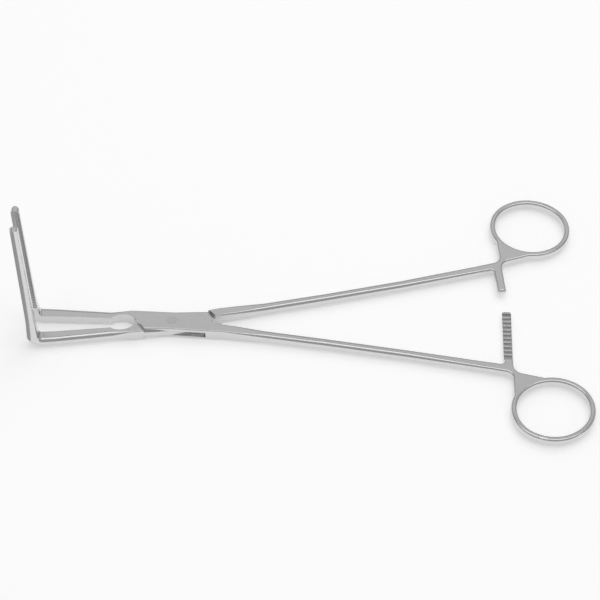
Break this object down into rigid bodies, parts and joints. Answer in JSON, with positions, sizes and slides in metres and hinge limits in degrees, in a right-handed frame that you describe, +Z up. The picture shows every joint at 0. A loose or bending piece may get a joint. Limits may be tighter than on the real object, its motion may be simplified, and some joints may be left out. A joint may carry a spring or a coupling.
{
  "type": "right angle clamp",
  "caption": "Locking surgical clamp in satin steel: box lock, long shanks, finger rings, ratchet, and jaws bent up at a right angle with fine cross serrations.",
  "frame": {"origin": "on the pivot's axis, at the underside of the box lock, which is the resting plane", "axes": "+X along the clamp towards the finger rings, +Z up, the way the jaws point, and +Y across it, away from the viewer of the picture"},
  "size_m": [0.2353, 0.1246, 0.0785],
  "materials": {
    "satin_steel": "satin stainless steel, glass beaded and lightly polished",
    "pin_steel": "satin stainless steel, ground flush with the box lock"
  },
  "bodies": {
    "box_half": {"female_half": "satin_steel", "pivot_pin": "pin_steel"},
    "tongue_half": {"male_half": "satin_steel"}
  },
  "joints": [
    {"name": "box_lock_hinge", "type": "hinge", "parent": "box_half", "child": "tongue_half", "pos_m": [0, 0, 0.0033], "axis": [0, 0, 1], "range_deg": [-7.1, 40]}
  ]
}
